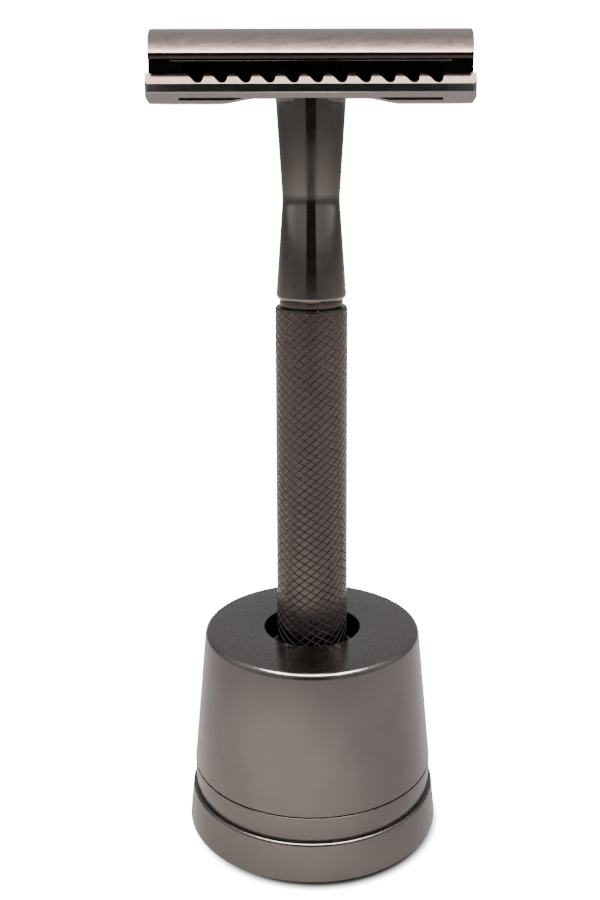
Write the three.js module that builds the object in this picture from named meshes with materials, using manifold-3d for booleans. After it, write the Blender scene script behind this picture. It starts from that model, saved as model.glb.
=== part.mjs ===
// Double-edge safety razor standing in its turned stand.
// Millimetres, +Z up, origin at the centre of the stand's underside, razor front towards -Y.
import * as THREE from 'three';
import { mergeVertices } from 'three/addons/utils/BufferGeometryUtils.js';
import Module from 'manifold-3d';

const wasm = await Module();
wasm.setup();

// ---------- driving dimensions ----------
const GAP = 0.3;
const ROUND = 48;
const STAND_ROUND = 72;

// stand
const STAND_TOP = 30.1;
const TOP_EDGE_R = 16.27;
const TOP_FILLET = 0.9;
const SEAM_Z = 9.65;
const SEAM_R = 18.07;
const BAND_Z = 6;
const BAND_FOOT_R = 17.85;
const LEDGE_Z = 5.7;
const LEDGE_R = 18.4;
const FOOT_R = 18.95;
const FOOT_Z = 0.15;
const PAD_R = 16;
const PAD_TOP = 0.9;
const HOLE_R = 7.25;
const CAVITY_IN_R = 8.9;
const CAVITY_OUT_R = 15;
const CAVITY_TOP = 24.5;
const SCREW_RING_R = 12;
const SCREW_R = 1.25;
const SCREW_HEAD_R = 2.4;
const SCREW_TIP_Z = 27.4;
const SCREWS = 3;

// socket
const LINER_OUT_R = HOLE_R - GAP;
const LINER_IN_R = 6.3;
const LINER_TOP = 26.5;
const LINER_FLOOR = 6.3;
const SOCKET_PAD_R = 5.8;
const SOCKET_PAD_Z = 7.6;
const SOCKET_PAD_T = 1.8;

// handle
const HANDLE_FOOT = 9.7;
const GRIP_R = 5.3;
const GRIP_FOOT = 11.3;
const GRIP_TOP = 79.6;
const PLUG_R = 4.95;
const PLUG_BORE_R = 3.2;
const STUD_BORE_R = 2.3;
const JOIN_STUD_R = 2;
const COLLAR_R = 4.64;
const COLLAR_Z = 79.85;
const COLLAR_TOP = 80.75;
const NECK_FOOT = 80.95;
const NECK_FOOT_R = 5.12;
const WAIST_Z = 95.2;
const WAIST_R = 4.13;
const NECK_TOP = 110;
const NECK_TOP_R = 5.05;
const INSERT_BORE_R = 2.8;
const INSERT_FOOT = 101.3;

// head
const PLATE_LENGTH = 44.4;
const PLATE_DEPTH = 24;
const PLATE_LOW = 108.7;
const PLATE_ARCH = 109.5;
const GUARD_EDGE = 111.37;
const GUARD_R = 8.2;
const GUARD_STEEP = 54 * Math.PI / 180;
const GUARD_FLAT = 42 * Math.PI / 180;
const POST_IN = 17.1;
const POST_HALF_DEPTH = 10;
const TROUGH = 111.7;
const POCKET_R = 5.4;
const CORNER_IN = 19.05;
const CORNER_NEAR = 6.7;
const NOTCHES = 11;
const NOTCH_PITCH = 3.18;
const NOTCH_FIRST = -14.95;
const NOTCH_LOW = 111.45;
const STUD_R = 1.6;
const STUD_FOOT = 104.3;
const STUD_TOP = 117.7;
const PIN_R = 1.2;
const PIN_X = 9;
const PIN_FOOT = 110.6;
const PIN_TOP = 117;
const BLADE_LENGTH = 43;
const BLADE_EDGE = 37.3;
const BLADE_DEPTH = 22;
const BLADE_T = 0.2;
const BLADE_MID = 115.2;
const BLADE_BOW = 1 / 140;
const CAP_LENGTH = 44.8;
const CAP_END_BULGE = 0.85;
const CAP_DEPTH = 22.6;
const CAP_TOP = 119.2;
const CAP_SPRING = 115.42;
const CAP_LIP = 114.63;

// ---------- finishes ----------
const gunmetal = { color: 0x77726e, roughness: 0.42, metalness: 0.9 };
const darkGrip = { color: 0x564d4a, roughness: 0.5, metalness: 0.85 };
const brass = { color: 0xb5924c, roughness: 0.35, metalness: 1 };
const iron = { color: 0x4a4a4c, roughness: 0.7, metalness: 0.8 };
const steel = { color: 0xb9bcc0, roughness: 0.25, metalness: 1 };
const blackPlastic = { color: 0x101010, roughness: 0.7, metalness: 0 };
const rubber = { color: 0x1a1a1a, roughness: 0.9, metalness: 0 };

// ---------- helpers ----------
function closed(geometry) {
  const bare = new THREE.BufferGeometry();
  bare.setAttribute('position', geometry.attributes.position.clone());
  if (geometry.index) bare.setIndex(geometry.index.clone());
  const merged = mergeVertices(bare, 1e-4);
  const index = merged.index.array;
  const p = merged.attributes.position;
  const kept = [];
  let volume = 0;
  const a = new THREE.Vector3();
  const b = new THREE.Vector3();
  const c = new THREE.Vector3();
  for (let i = 0; i < index.length; i += 3) {
    const [u, v, w] = [index[i], index[i + 1], index[i + 2]];
    if (u === v || v === w || w === u) continue;
    kept.push(u, v, w);
    a.fromBufferAttribute(p, u);
    b.fromBufferAttribute(p, v);
    c.fromBufferAttribute(p, w);
    volume += a.dot(b.cross(c));
  }
  if (volume < 0) {
    for (let i = 0; i < kept.length; i += 3) {
      [kept[i], kept[i + 1]] = [kept[i + 1], kept[i]];
    }
  }
  merged.setIndex(kept);
  return merged;
}

function solid(geometry) {
  const g = closed(geometry);
  const vertProperties = new Float32Array(g.attributes.position.array);
  const triVerts = new Uint32Array(g.index.array);
  return new wasm.Manifold(new wasm.Mesh({ numProp: 3, vertProperties, triVerts }));
}

function surface(body) {
  const mesh = body.getMesh();
  const g = new THREE.BufferGeometry();
  g.setAttribute('position', new THREE.BufferAttribute(new Float32Array(mesh.vertProperties), 3));
  g.setIndex(Array.from(mesh.triVerts));
  return closed(g);
}

// Profile points are [radius, height]; the loop is closed back to its start.
function turned(profile, segments = ROUND) {
  const points = [...profile, profile[0]].map(([r, z]) => new THREE.Vector2(Math.max(r, 0), z));
  const g = new THREE.LatheGeometry(points, segments);
  g.rotateX(Math.PI / 2);
  return closed(g);
}

function rod(radius, low, high, chamfer = 0, segments = 32) {
  return turned([
    [0, low],
    [radius - chamfer, low],
    [radius, low + chamfer],
    [radius, high - chamfer],
    [radius - chamfer, high],
    [0, high],
  ].filter((q, i, all) => i === 0 || q[0] !== all[i - 1][0] || q[1] !== all[i - 1][1]), segments);
}

function rodAt(x, y, radius, low, high, segments = 24) {
  return rod(radius, low, high, 0, segments).translate(x, y, 0);
}

function outline(points) {
  return new THREE.Shape(points.map(([x, y]) => new THREE.Vector2(x, y)));
}

function roundedRectangle(length, depth, radius) {
  const [x, y] = [length / 2, depth / 2];
  const corners = [[x - radius, y - radius], [radius - x, y - radius], [radius - x, radius - y], [x - radius, radius - y]];
  const points = [];
  corners.forEach(([cx, cy], quarter) => {
    for (let k = 0; k <= 5; k += 1) {
      const angle = (quarter + k / 5) * Math.PI / 2;
      points.push([cx + radius * Math.cos(angle), cy + radius * Math.sin(angle)]);
    }
  });
  return outline(points);
}

// Plan of the cap: its two ends bow outwards.
function bowedEnds(length, depth, bulge, corner = 0.3) {
  const [x, y] = [length / 2, depth / 2];
  const end = Array.from({ length: 17 }, (_, k) => {
    const t = (k - 8) / 8;
    return [x - bulge * t * t - (Math.abs(t) === 1 ? corner : 0), t * y];
  });
  end.splice(16, 0, [x - bulge * 0.97, y - corner]);
  end.splice(1, 0, [x - bulge * 0.97, corner - y]);
  return outline([...end, ...end.map(([px, py]) => [-px, -py])]);
}

function extrudedUp(shape, low, high) {
  const g = new THREE.ExtrudeGeometry(shape, { depth: high - low, bevelEnabled: false, curveSegments: 12 });
  g.translate(0, 0, low);
  return closed(g);
}

// Section points are [y, z]; the bar runs along X, centred.
function barAlongX(section, length) {
  const g = new THREE.ExtrudeGeometry(outline(section), { depth: length, bevelEnabled: false });
  g.translate(0, 0, -length / 2);
  g.applyMatrix4(new THREE.Matrix4().set(0, 0, 1, 0, 1, 0, 0, 0, 0, 1, 0, 0, 0, 0, 0, 1));
  return closed(g);
}

// Section points are [x, z]; the bar runs along Y between the two given places.
function barAlongY(section, near, far) {
  const g = new THREE.ExtrudeGeometry(outline(section), { depth: far - near, bevelEnabled: false });
  g.applyMatrix4(new THREE.Matrix4().set(1, 0, 0, 0, 0, 0, 1, near, 0, 1, 0, 0, 0, 0, 0, 1));
  return closed(g);
}

function block(x0, x1, y0, y1, z0, z1) {
  return new THREE.BoxGeometry(x1 - x0, y1 - y0, z1 - z0)
    .translate((x0 + x1) / 2, (y0 + y1) / 2, (z0 + z1) / 2);
}

function mirrored(half) {
  return [...half, ...half.slice().reverse().map(([y, z]) => [-y, z])]
    .filter(([y, z], i, all) => i === 0 || y !== all[i - 1][0] || z !== all[i - 1][1]);
}

function arcPoints(cx, cz, radius, from, to, steps) {
  return Array.from({ length: steps + 1 }, (_, k) => {
    const angle = from + (to - from) * k / steps;
    return [cx + radius * Math.cos(angle), cz + radius * Math.sin(angle)];
  });
}

// Height of the bowed blade's middle surface at depth y.
function bow(y) {
  return BLADE_MID - y * y * BLADE_BOW;
}

function bowPoints(half, lift, steps = 8) {
  return Array.from({ length: steps + 1 }, (_, k) => {
    const y = half * k / steps;
    return [y, bow(y) + lift];
  });
}

function aroundScrews(make) {
  return Array.from({ length: SCREWS }, (_, k) => {
    const angle = Math.PI / 2 + k * 2 * Math.PI / SCREWS;
    return make(SCREW_RING_R * Math.cos(angle), SCREW_RING_R * Math.sin(angle));
  });
}

const part = new THREE.Group();
part.name = 'safety_razor_and_stand';

function add(name, geometry, finish) {
  const mesh = new THREE.Mesh(geometry, new THREE.MeshStandardMaterial(finish));
  mesh.name = name;
  part.add(mesh);
}

// ---------- stand ----------
function standBody() {
  const slope = (TOP_EDGE_R - SEAM_R) / (STAND_TOP - TOP_FILLET - SEAM_Z);
  const wallTop = STAND_TOP - TOP_FILLET;
  const body = turned([
    [HOLE_R, SEAM_Z],
    [CAVITY_IN_R, SEAM_Z],
    [CAVITY_IN_R, CAVITY_TOP],
    [CAVITY_OUT_R, CAVITY_TOP],
    [CAVITY_OUT_R, SEAM_Z],
    [SEAM_R - 0.1, SEAM_Z],
    [SEAM_R + slope * 0.1, SEAM_Z + 0.1],
    ...arcPoints(TOP_EDGE_R - TOP_FILLET, wallTop, TOP_FILLET, 0, Math.PI / 2, 5),
    [HOLE_R + 0.15, STAND_TOP],
    [HOLE_R, STAND_TOP - 0.15],
  ], STAND_ROUND);
  let out = solid(body);
  for (const hole of aroundScrews((x, y) => rodAt(x, y, SCREW_R + GAP, CAVITY_TOP - 1, SCREW_TIP_Z + GAP))) {
    out = out.subtract(solid(hole));
  }
  return surface(out);
}

function baseBand() {
  const top = SEAM_Z - GAP;
  let out = solid(turned([
    [HOLE_R, BAND_Z],
    [BAND_FOOT_R, BAND_Z],
    [BAND_FOOT_R + 0.06, BAND_Z + 1],
    [SEAM_R - 0.06, top - 0.7],
    [SEAM_R, top - 0.1],
    [SEAM_R - 0.1, top],
    [HOLE_R, top],
  ], STAND_ROUND));
  for (const hole of aroundScrews((x, y) => rodAt(x, y, SCREW_R + GAP, BAND_Z - 1, top + 1))) {
    out = out.subtract(solid(hole));
  }
  return surface(out);
}

function baseRing() {
  let out = solid(turned([
    [0, PAD_TOP + GAP],
    [PAD_R + GAP, PAD_TOP + GAP],
    [PAD_R + GAP, FOOT_Z],
    [FOOT_R - 0.3, FOOT_Z],
    [FOOT_R, FOOT_Z + 0.35],
    ...arcPoints(LEDGE_R - 0.4, LEDGE_Z - 0.42, 0.42, 0.08, Math.PI / 2, 4),
    [0, LEDGE_Z],
  ], STAND_ROUND));
  const head = aroundScrews((x, y) => rodAt(x, y, SCREW_HEAD_R + GAP, 0.5, 3.6));
  const shank = aroundScrews((x, y) => rodAt(x, y, SCREW_R + GAP, 3, LEDGE_Z + 1));
  for (const hole of [...head, ...shank]) {
    out = out.subtract(solid(hole));
  }
  return surface(out);
}

function ballast() {
  const shape = new THREE.Shape();
  shape.absarc(0, 0, CAVITY_OUT_R - GAP, 0, 2 * Math.PI, false);
  const centre = new THREE.Path();
  centre.absarc(0, 0, CAVITY_IN_R + GAP, 0, 2 * Math.PI, true);
  shape.holes.push(centre);
  aroundScrews((x, y) => {
    const hole = new THREE.Path();
    hole.absarc(x, y, SCREW_R + GAP, 0, 2 * Math.PI, true);
    shape.holes.push(hole);
  });
  const depth = CAVITY_TOP - GAP - SEAM_Z - GAP;
  const g = new THREE.ExtrudeGeometry(shape, { depth, bevelEnabled: false, curveSegments: 16 });
  return closed(g.translate(0, 0, SEAM_Z + GAP));
}

function baseScrew(x, y) {
  const socket = extrudedUp(outline(arcPoints(0, 0, 1.3, 0, 2 * Math.PI * 5 / 6, 5)), 1, 2.5);
  const screw = turned([
    [0, 1.4],
    [SCREW_HEAD_R - 0.2, 1.4],
    [SCREW_HEAD_R, 1.6],
    [SCREW_HEAD_R, 3.3],
    [SCREW_R, 3.3],
    [SCREW_R, SCREW_TIP_Z - 0.5],
    [SCREW_R - 0.4, SCREW_TIP_Z],
    [0, SCREW_TIP_Z],
  ], 24);
  return surface(solid(screw).subtract(solid(socket))).translate(x, y, 0);
}

add('stand_body', standBody(), gunmetal);
add('base_band', baseBand(), gunmetal);
add('base_ring', baseRing(), gunmetal);
add('ballast', ballast(), iron);
add('socket_liner', turned([
  [0, LINER_FLOOR],
  [LINER_OUT_R, LINER_FLOOR],
  [LINER_OUT_R, LINER_TOP],
  [LINER_IN_R, LINER_TOP],
  [LINER_IN_R, SOCKET_PAD_Z - GAP],
  [0, SOCKET_PAD_Z - GAP],
], 48), blackPlastic);
add('socket_pad', rod(SOCKET_PAD_R, SOCKET_PAD_Z, SOCKET_PAD_Z + SOCKET_PAD_T, 0.2, 48), rubber);
add('foot_pad', rod(PAD_R, 0, PAD_TOP, 0.2, ROUND), rubber);
aroundScrews((x, y) => baseScrew(x, y)).forEach((g, k) => add(`base_screw_${k + 1}`, g, steel));

// ---------- handle ----------
add('handle_grip', turned([
  [PLUG_BORE_R, GRIP_FOOT],
  [GRIP_R - 0.35, GRIP_FOOT],
  [GRIP_R, GRIP_FOOT + 0.35],
  [GRIP_R, GRIP_TOP - 0.35],
  [GRIP_R - 0.35, GRIP_TOP],
  [STUD_BORE_R, GRIP_TOP],
  [STUD_BORE_R, 66.5],
  [0, 66.5],
  [0, 20],
  [PLUG_BORE_R, 20],
], ROUND), darkGrip);
add('grip_end_plug', turned([
  [0, HANDLE_FOOT],
  [PLUG_R - 0.5, HANDLE_FOOT],
  [PLUG_R, HANDLE_FOOT + 0.5],
  [PLUG_R, GRIP_FOOT - GAP],
  [PLUG_BORE_R - GAP, GRIP_FOOT - GAP],
  [PLUG_BORE_R - GAP, 18.6],
  [PLUG_BORE_R - GAP - 0.4, 19],
  [0, 19],
], 48), gunmetal);
add('collar_ring', turned([
  [STUD_BORE_R, COLLAR_Z],
  [COLLAR_R, COLLAR_Z],
  [COLLAR_R, COLLAR_TOP],
  [STUD_BORE_R, COLLAR_TOP],
], ROUND), gunmetal);
add('joining_stud', rod(JOIN_STUD_R, 67, 89.4, 0.4, 32), steel);
add('handle_neck', turned([
  [STUD_BORE_R, NECK_FOOT],
  [NECK_FOOT_R - 0.42, NECK_FOOT],
  [NECK_FOOT_R, NECK_FOOT + 0.55],
  [WAIST_R + 0.035, WAIST_Z - 0.9],
  [WAIST_R, WAIST_Z],
  [WAIST_R + 0.035, WAIST_Z + 0.9],
  [NECK_TOP_R, NECK_TOP - 0.35],
  [NECK_TOP_R - 0.3, NECK_TOP],
  [INSERT_BORE_R, NECK_TOP],
  [INSERT_BORE_R, INSERT_FOOT - GAP],
  [0, INSERT_FOOT - GAP],
  [0, 90],
  [STUD_BORE_R, 90],
], ROUND), gunmetal);
add('neck_insert', turned([
  [STUD_R + GAP, INSERT_FOOT],
  [INSERT_BORE_R - GAP, INSERT_FOOT],
  [INSERT_BORE_R - GAP, NECK_TOP - 0.1],
  [STUD_R + GAP + 0.2, NECK_TOP - 0.1],
  [STUD_R + GAP, NECK_TOP - 0.3],
], 32), brass);

// ---------- head ----------
function notchSection(x) {
  const z = NOTCH_LOW;
  return [
    [x - 1.75, 113.4],
    [x - 1.38, z + 1.2],
    [x - 1, z + 0.75],
    [x - 0.6, z + 0.38],
    [x - 0.15, z + 0.07],
    [x + 0.25, z],
    [x + 0.52, z + 0.12],
    [x + 0.7, z + 0.4],
    [x + 0.82, z + 0.95],
    [x + 0.9, 113.4],
  ];
}

function basePlate() {
  const platform = bowPoints(7.4, -BLADE_T / 2 - GAP).reverse();
  const edge = PLATE_DEPTH / 2;
  const start = Math.PI / 2 - GUARD_STEEP;
  const centre = [edge - GUARD_R * Math.cos(start), GUARD_EDGE - GUARD_R * Math.sin(start)];
  const guard = arcPoints(...centre, GUARD_R, start, Math.PI / 2 - GUARD_FLAT, 5);
  const [rimY, rimZ] = guard[5];
  const guardTop = rimZ + 0.16;
  const half = [
    [11.45, PLATE_LOW],
    [11.6, PLATE_LOW + 0.2],
    [11.85, 110.15],
    [12, 110.3],
    ...guard,
    [rimY - 0.2, rimZ + 0.12],
    [rimY - 0.45, guardTop],
    [rimY - 0.9, guardTop - 0.02],
    [9.3, TROUGH],
    [8.2, TROUGH],
    [7.8, 113],
    ...platform,
  ];
  const bar = solid(barAlongX(mirrored(half), PLATE_LENGTH));
  const x = PLATE_LENGTH / 2;
  const arch = mirrored([
    [0, PLATE_ARCH],
    [8.6, PLATE_ARCH],
    [9.6, PLATE_ARCH - 0.08],
    [11.2, PLATE_ARCH - 0.42],
    [12.8, PLATE_LOW + 0.06],
    [13.9, PLATE_LOW],
    [x - 1.1, PLATE_LOW],
    [x - 0.6, PLATE_LOW + 0.15],
    [x - 0.28, PLATE_LOW + 0.6],
    [x - 0.08, PLATE_LOW + 1.3],
    [x, PLATE_LOW + 2],
    [x, guardTop - 0.4],
    [x - 0.35, guardTop + 0.12],
    [x - 0.8, guardTop + 0.2],
    [x - 0.9, 120],
  ]);
  const front = solid(barAlongY(arch, -20, 20));
  const plan = solid(extrudedUp(roundedRectangle(PLATE_LENGTH, PLATE_DEPTH, 0.5), 100, 125));
  let out = bar.intersect(front).intersect(plan);
  // the raised platform stops short of the end posts, whose outer faces follow the cap's ends
  const ends = solid(extrudedUp(bowedEnds(CAP_LENGTH - 0.1, CAP_DEPTH, CAP_END_BULGE), 100, 125)).intersect(plan);
  const crest = bowPoints(POST_HALF_DEPTH, -BLADE_T / 2 - GAP).reverse();
  const post = barAlongX(mirrored([[POST_HALF_DEPTH, TROUGH - 0.3], ...crest]), 6);
  // beyond the blade's edges the posts' corners rise between its end tabs, up to the cap
  const rise = bowPoints(POST_HALF_DEPTH, BLADE_T / 2).filter(([y]) => y > CORNER_NEAR).reverse();
  const low = TROUGH - 0.3;
  const corner = [[POST_HALF_DEPTH, low], ...rise, [CORNER_NEAR, bow(CORNER_NEAR) + BLADE_T / 2], [CORNER_NEAR, low]];
  const corners = solid(barAlongX(corner, 4)).add(solid(barAlongX(corner.map(([y, z]) => [-y, z]), 4)));
  for (const side of [-1, 1]) {
    const [a, b] = [side * (POST_IN - GAP), side * 23].sort((p, q) => p - q);
    out = out.subtract(solid(block(a, b, -9.4, 9.4, TROUGH, 120)));
    out = out.add(solid(post.clone().translate(side * (POST_IN + 3), 0, 0)).intersect(ends));
    out = out.add(corners.translate([side * (CORNER_IN + 2), 0, 0]).intersect(ends));
  }
  for (let k = 0; k < NOTCHES; k += 1) {
    const near = solid(barAlongY(notchSection(NOTCH_FIRST + k * NOTCH_PITCH), -13, -8.8));
    out = out.subtract(near).subtract(near.rotate([0, 0, 180]));
  }
  for (const [sx, sy] of [[-1, -1], [1, -1], [-1, 1], [1, 1]]) {
    const [x0, x1] = [sx * 9.2, sx * 17.5].sort((p, q) => p - q);
    const [y0, y1] = [sy * 9.8, sy * 12.5].sort((p, q) => p - q);
    out = out.subtract(solid(block(x0, x1, y0, y1, PLATE_ARCH - 0.3, PLATE_ARCH - 0.05)));
  }
  out = out.subtract(solid(rod(STUD_R + GAP, 100, 125, 0, 32)));
  out = out.subtract(solid(rod(POCKET_R, 100, NECK_TOP + GAP, 0, 48)));
  for (const side of [-1, 1]) {
    out = out.subtract(solid(rodAt(side * PIN_X, 0, PIN_R + GAP, PIN_FOOT - GAP, 125)));
  }
  return surface(out);
}

function blade() {
  const top = bowPoints(BLADE_DEPTH / 2 - 0.4, BLADE_T / 2, 10);
  const low = bowPoints(BLADE_DEPTH / 2 - 0.4, -BLADE_T / 2, 10).reverse();
  const edge = [[BLADE_DEPTH / 2, bow(BLADE_DEPTH / 2)]];
  const right = [...top, ...edge, ...low];
  const left = right.slice(1, -1).reverse().map(([y, z]) => [-y, z]);
  const sheet = solid(barAlongX([...right, ...left], BLADE_LENGTH));
  const x = BLADE_LENGTH / 2;
  const e = BLADE_EDGE / 2;
  const y = BLADE_DEPTH / 2;
  const quarter = [[x, 0], [x, 5.4], [x - 0.6, 6], [e + 0.5, 6], [e, 6.5], [e, y + 1]];
  const rim = [
    ...quarter,
    ...quarter.slice().reverse().map(([px, py]) => [-px, py]),
    ...quarter.slice(1).map(([px, py]) => [-px, -py]),
    ...quarter.slice(1).reverse().map(([px, py]) => [px, -py]),
  ];
  const slot = new THREE.Shape();
  slot.absarc(13.5, 0, 1.7, -Math.PI / 2, Math.PI / 2, false);
  slot.absarc(-13.5, 0, 1.7, Math.PI / 2, 3 * Math.PI / 2, false);
  return surface(sheet
    .intersect(solid(extrudedUp(outline(rim), 110, 120)))
    .subtract(solid(extrudedUp(slot, 110, 120)))
    .subtract(solid(rod(2.5, 110, 120, 0, 24))));
}

function topCap() {
  const halfDepth = CAP_DEPTH / 2;
  const rise = CAP_TOP - CAP_SPRING;
  const radius = (halfDepth * halfDepth + rise * rise) / (2 * rise);
  const start = Math.asin((radius - rise) / radius);
  const dome = arcPoints(0, CAP_TOP - radius, radius, start, Math.PI / 2, 12);
  const under = bowPoints(halfDepth - 0.8, BLADE_T / 2 + GAP).reverse();
  const half = [
    ...under.slice().reverse(),
    [halfDepth - 0.35, CAP_LIP + 0.02],
    [halfDepth - 0.2, CAP_LIP],
    [halfDepth - 0.13, CAP_LIP + 0.07],
    [halfDepth - 0.02, CAP_LIP + 0.38],
    ...dome,
  ];
  const section = [...half, ...half.slice(1, -1).reverse().map(([y, z]) => [-y, z])];
  const x = CAP_LENGTH / 2;
  const face = [
    [-x, 110],
    [x, 110],
    [x, CAP_TOP - 0.4],
    [x - 0.1, CAP_TOP - 0.17],
    [x - 0.4, CAP_TOP + 0.1],
    [0.4 - x, CAP_TOP + 0.1],
    [0.1 - x, CAP_TOP - 0.17],
    [-x, CAP_TOP - 0.4],
  ];
  let out = solid(barAlongX(section, CAP_LENGTH))
    .intersect(solid(barAlongY(face, -20, 20)))
    .intersect(solid(extrudedUp(bowedEnds(CAP_LENGTH, CAP_DEPTH, CAP_END_BULGE), 100, 125)));
  out = out.subtract(solid(rod(STUD_R + GAP, 100, STUD_TOP + GAP, 0, 32)));
  for (const side of [-1, 1]) {
    out = out.subtract(solid(rodAt(side * PIN_X, 0, PIN_R + GAP, 100, PIN_TOP + GAP)));
  }
  return surface(out);
}

add('base_plate', basePlate(), gunmetal);
add('blade', blade(), steel);
add('top_cap', topCap(), gunmetal);
add('cap_stud', rod(STUD_R, STUD_FOOT, STUD_TOP, 0.3, 32), gunmetal);
add('cap_pin_left', rod(PIN_R, PIN_FOOT, PIN_TOP, 0.25, 24).translate(-PIN_X, 0, 0), gunmetal);
add('cap_pin_right', rod(PIN_R, PIN_FOOT, PIN_TOP, 0.25, 24).translate(PIN_X, 0, 0), gunmetal);

export default part;
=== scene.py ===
import math

import bmesh
import bpy
from mathutils import Matrix, Vector


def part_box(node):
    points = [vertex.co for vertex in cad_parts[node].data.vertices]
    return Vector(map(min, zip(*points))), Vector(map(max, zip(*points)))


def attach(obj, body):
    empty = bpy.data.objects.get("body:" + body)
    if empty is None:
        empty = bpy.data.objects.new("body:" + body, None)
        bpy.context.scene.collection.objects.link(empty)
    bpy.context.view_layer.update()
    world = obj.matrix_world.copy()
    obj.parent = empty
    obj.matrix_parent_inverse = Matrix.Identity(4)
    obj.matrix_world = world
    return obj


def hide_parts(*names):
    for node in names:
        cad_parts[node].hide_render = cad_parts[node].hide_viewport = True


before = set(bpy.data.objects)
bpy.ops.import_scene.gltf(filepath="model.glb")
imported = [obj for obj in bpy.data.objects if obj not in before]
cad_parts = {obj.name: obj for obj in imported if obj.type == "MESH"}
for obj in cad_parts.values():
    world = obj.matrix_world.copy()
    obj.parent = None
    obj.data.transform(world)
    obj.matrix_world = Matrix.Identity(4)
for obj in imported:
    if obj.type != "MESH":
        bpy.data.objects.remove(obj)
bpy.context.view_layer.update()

MM = 0.001

# Sizes are in mm and angles in degrees, unless a comment says otherwise.

# camera: places in metres, shift as a share of the frame's height
CAMERA_PLACE = (0, -0.1701, 0.1083)
CAMERA_TILT = 9.24
CAMERA_ROLL = -0.14
CAMERA_LENS = 47.2
CAMERA_SHIFT = (-0.0126111, -0.1678889)

# stand
LATHE_STEPS = 192
HOLE_R = 7.25
SEAM_LIFT = 0.06
STAND_TOP_R = 16.2
BAND_SINK = 0.27
BAND_BELLY_R = 17.98
BAND_FOOT_R = 17.86
RING_TOP_R = 18.42
SOCKET_R = 6.3
PAD_ROOM = 0.3

# handle
KNURL_STARTS = (23, 16)
KNURL_PITCH = 1.25
KNURL_DEPTH = 0.09
KNURL_FLAT = 0.77
PLUG_BORE_R = 3.2
PLUG_STEM_R = 2.9
PLUG_RIM = 1.3
STUD_BORE_R = 2.3
HUB_STEP = 0.5
TOUCH = 0.02
WAIST_Z = 95.2
WAIST_R = 4.13
NECK_TOP_R = 5.05
NECK_FLAT_R = 4.7
INSERT_BORE_R = 2.8

# guard plate
GUARD_EDGE = 111.37
GUARD_R = 8.2
GUARD_STEEP = math.radians(54)
GUARD_FLAT = math.radians(42)
PLATE_CORNER = 0.5
PLATE_BULGE = 0.22
ARCH_RISE = 0.8
TROUGH = 111.7
TROUGH_HALF_DEPTH = 9.3
SADDLE_HALF_DEPTH = 7.4
SADDLE_LIFT = -0.4
POST_IN = 17.1
POST_HALF_DEPTH = 10
POST_ROOM_HALF_DEPTH = 9.4
CORNER_IN = 19.05
CORNER_NEAR = 6.7
CORNER_LIFT = 0.1
NOTCHES = 11
NOTCH_PITCH = 3.18
NOTCH_FIRST = -14.95
NOTCH_LOW = 111.45
NOTCH_REACH = (8.9, 13)
SLIT_X = (9.2, 17.5)
SLIT_Y = (9.6, 12.5)
SLIT_Z = (-0.33, 0.03)
POCKET_R = 5.4
POCKET_ROOM = 0.3
PIN_X = 9
PIN_HOLE_R = 1.5
PIN_HOLE_LIFT = 1.75
STUD_HOLE_R = 1.9

# cap
CAP_BULGE = 0.85
CAP_CORNER = 0.35
CAP_LIP = 114.63
CAP_SPRING = 115.42
CAP_STUD_HOLE_TOP = 118
CAP_PIN_HOLE_TOP = 117.3
THREAD_PITCH = 0.8
THREAD_DEPTH = 0.3

# blade, bent over the saddle
BLADE_MID = 115.2
BLADE_BEND_R = 70
BLADE_EDGE = 37.3
BLADE_GRIND = 0.9
BLADE_HALF_THICKNESS = 0.05
BLADE_TAB_HALF_DEPTH = 6
BLADE_SLOT = (30.4, 3.4, 1.69)
BLADE_HOLE_R = 2.5

# tools that cut the head reach well past it
TOOL_SIDE = 20
TOOL_LOW = 100
TOOL_HIGH = 125
BLADE_TOOL = (110, 120)
PAST_END = 23
PAST_TOP = 120

# painted shade and edge wear: fades run from the first height or distance to the second
# painted shade on the guard's front above its lower edge, tinted warm
GUARD_PAINTED_SHADE = (0.2, 0.165, 0.15)
# painted shade on the unlit faces inside the gap, on the cap's front lip and on the wall of the stand's
# hole
PAINTED_SHADE_TONE = (0.008, 0.007, 0.007)
# share of that painted shade on the lower half of the cap's lip
LIP_LOWER_SHADE = 0.72
EDGE_WEAR = 0.45
GAP_CEILING = (115.2, 115.4)
GAP_HALF_DEPTH = (9.6, 9.7)
GAP_FLOOR = (111.6, 111.8)
GAP_END = (21.5, 21.8)
POST_FLOOR = (112.7, 113)

# surroundings
WHITE = 17
FLOOR_R = 6000
FLOOR_DROP = 0.1
# painted pool of light on the floor: its colour is brightest round BRIGHT_CENTRE, dims outwards and rises
# again far away
FLOOR_BRIGHT = (0.385, 0.383, 0.366)
FLOOR_DIM = (0.23, 0.228, 0.25)
FLOOR_FAR = (0.34, 0.33, 0.33)
BRIGHT_CENTRE = (-30, -60)
BRIGHT_REACH = (15, 95)
FAR_REACH = (140, 350)
# painted contact shadow on the floor round the foot ring
SHADOW_CENTRE = (0.5, -1.4)
SHADOW_REACH = (16.65, 19.05)
SHADOW_POWER = 5
SHADOW_GLOW = 0.02
FRONT_GLOW = 0.56
SIDE_GLOW = 0.95
BACK_GLOW = 0.46
CARD_HALF_WIDTH = 131
CARD_Y = (-420, -419)
CARD_Z = (56, 400)
CARD_TONE = 0.002
# overhead light: place and size in metres, power in watts
LIGHT_PLACE = (0, -0.02, 0.6)
LIGHT_SIZE = (0.5, 0.35)
LIGHT_POWER = 22
LIGHT_COLOUR = (1, 0.89, 0.82)


def z_range(node):
    """Lowest and highest point of a CAD node, in mm."""
    lo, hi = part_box(node)
    return lo.z / MM, hi.z / MM


def radius(node):
    """Half of a CAD node's length along X, in mm."""
    lo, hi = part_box(node)
    return (hi.x - lo.x) / 2 / MM


def half_depth(node):
    """Half of a CAD node's depth along Y, in mm."""
    lo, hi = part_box(node)
    return (hi.y - lo.y) / 2 / MM


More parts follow.
